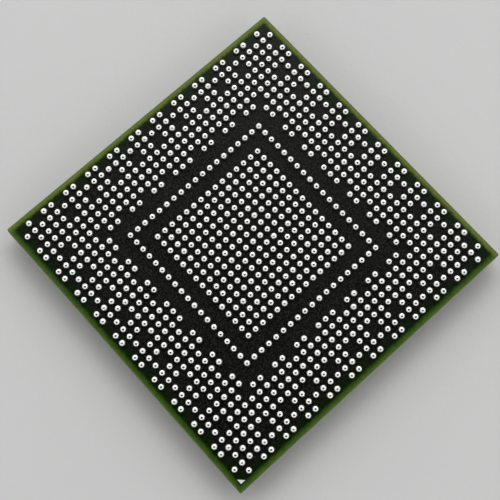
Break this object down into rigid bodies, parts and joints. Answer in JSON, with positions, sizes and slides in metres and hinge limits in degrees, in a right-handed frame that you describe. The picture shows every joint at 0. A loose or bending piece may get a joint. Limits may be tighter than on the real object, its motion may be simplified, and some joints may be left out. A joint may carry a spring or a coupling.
{
  "type": "ball grid array chip",
  "caption": "Square bare-die flip-chip package with a depopulated array of solder balls on one side and a silicon die with capacitors on the other.",
  "frame": {"origin": "centre of the back of the silicon die, on which the package lies", "axes": "+Z from the die's back up to the solder balls; the sides of the package run along X and Y, and the marked first corner is at -X, -Y"},
  "size_m": [0.029, 0.029, 0.0025],
  "materials": {
    "laminate": "cut edge of a glass and epoxy laminate, pale green-grey",
    "copper": "bare copper, hidden under the solder mask",
    "plated_pads": "thin gold over nickel, satin",
    "solder_mask": "dark green, nearly black over copper, satin",
    "white_ink": "matt printed ink",
    "silicon": "ground and etched back, grey, satin",
    "solder": "reflowed tin alloy, bright",
    "underfill_resin": "cured resin, near black, glossy",
    "capacitor_ceramic": "fired ceramic, light brown, satin",
    "tin_plating": "matt tin plating"
  },
  "bodies": {
    "root": {"substrate": "laminate", "ball_side_copper": "copper", "ball_pads": "plated_pads", "ball_side_mask": "solder_mask", "ball_side_mark": "white_ink", "die_side_copper": "copper", "bump_pads": "plated_pads", "capacitor_lands": "plated_pads", "corner_plating": "plated_pads", "die_side_mask": "solder_mask", "die": "silicon", "bumps": "solder", "underfill": "underfill_resin", "capacitor_solder": "solder", "balls_core": "solder", "balls_ring_1": "solder", "balls_ring_2": "solder", "balls_ring_3": "solder", "balls_ring_4": "solder", "balls_field_1": "solder", "balls_field_2": "solder", "balls_field_3": "solder", "balls_field_4": "solder", "balls_edge_1": "solder", "balls_edge_2": "solder", "balls_edge_3": "solder", "balls_edge_4": "solder", "capacitor_1": "capacitor_ceramic", "capacitor_ends_1": "tin_plating", "capacitor_2": "capacitor_ceramic", "capacitor_ends_2": "tin_plating", "capacitor_3": "capacitor_ceramic", "capacitor_ends_3": "tin_plating", "capacitor_4": "capacitor_ceramic", "capacitor_ends_4": "tin_plating", "capacitor_5": "capacitor_ceramic", "capacitor_ends_5": "tin_plating", "capacitor_6": "capacitor_ceramic", "capacitor_ends_6": "tin_plating", "capacitor_7": "capacitor_ceramic", "capacitor_ends_7": "tin_plating", "capacitor_8": "capacitor_ceramic", "capacitor_ends_8": "tin_plating", "capacitor_9": "capacitor_ceramic", "capacitor_ends_9": "tin_plating", "capacitor_10": "capacitor_ceramic", "capacitor_ends_10": "tin_plating", "capacitor_11": "capacitor_ceramic", "capacitor_ends_11": "tin_plating", "capacitor_12": "capacitor_ceramic", "capacitor_ends_12": "tin_plating"}
  },
  "joints": []
}
